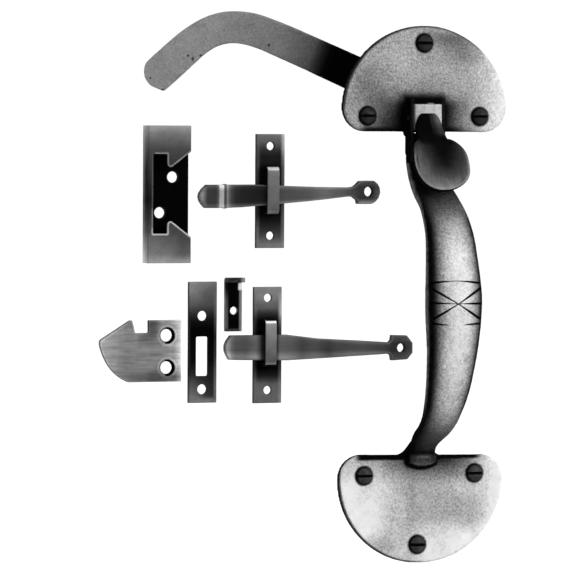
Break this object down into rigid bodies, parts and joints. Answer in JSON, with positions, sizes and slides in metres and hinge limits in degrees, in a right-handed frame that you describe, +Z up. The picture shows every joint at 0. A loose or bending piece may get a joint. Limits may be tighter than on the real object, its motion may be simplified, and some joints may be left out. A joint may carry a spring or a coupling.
{
  "type": "thumb latch",
  "caption": "Cast iron thumb latch kit: half-moon plated door handle with thumb press and swinging tail, latch bars in guide staples, rim strike, catch, slotted strike and stop clip.",
  "frame": {"origin": "on the handle's centre line and on the plates' back plane, at the height of the thumb press pivot", "axes": "+Z up along the handle, -Y out of the door towards the user, +Y into the door"},
  "size_m": [0.2909, 0.2035, 0.3702],
  "materials": {
    "plate_iron": "sand cast, antiqued, pewter-grey high spots over black recesses",
    "dark_iron": "smooth black-grey cast surface",
    "tail_iron": "speckled dark grey, flat bar",
    "fitting_steel": "dark, lightly brushed steel with pale edges",
    "screw_steel": "blackened round-head screws",
    "pin_steel": "plain turned steel"
  },
  "bodies": {
    "kit": {"handle_casting": "plate_iron", "thumb_pivot_pin": "pin_steel", "upper_plate_screws": "screw_steel", "lower_plate_screws": "screw_steel", "rim_strike": "fitting_steel", "guide_plate_a": "fitting_steel", "guide_staple_a": "fitting_steel", "catch_plate": "fitting_steel", "slotted_strike_plate": "fitting_steel", "stop_clip": "fitting_steel", "guide_plate_b": "fitting_steel", "guide_staple_b": "fitting_steel"},
    "thumb_lever": {"thumb_press": "dark_iron", "tail_hinge_pin": "pin_steel"},
    "tail": {"tail_bar": "tail_iron"},
    "bar_a": {"latch_bar_a": "fitting_steel"},
    "bar_b": {"latch_bar_b": "fitting_steel"}
  },
  "joints": [
    {"name": "thumb_press", "type": "hinge", "parent": "kit", "child": "thumb_lever", "pos_m": [0, -0.0075, 0], "axis": [1, 0, 0], "range_deg": [-28, 2]},
    {"name": "tail_swing", "type": "hinge", "parent": "thumb_lever", "child": "tail", "pos_m": [0, 0.014, 0.012], "axis": [0, 0, 1], "range_deg": [-96, 0]},
    {"name": "latch_bar_a_lift", "type": "hinge", "parent": "kit", "child": "bar_a", "pos_m": [-0.0412, -0.00545, -0.0491], "axis": [0, 1, 0], "range_deg": [-2.6, 7.2]},
    {"name": "latch_bar_b_lift", "type": "hinge", "parent": "kit", "child": "bar_b", "pos_m": [-0.0168, -0.00545, -0.1533], "axis": [0, 1, 0], "range_deg": [-0.9, 4.4]}
  ]
}
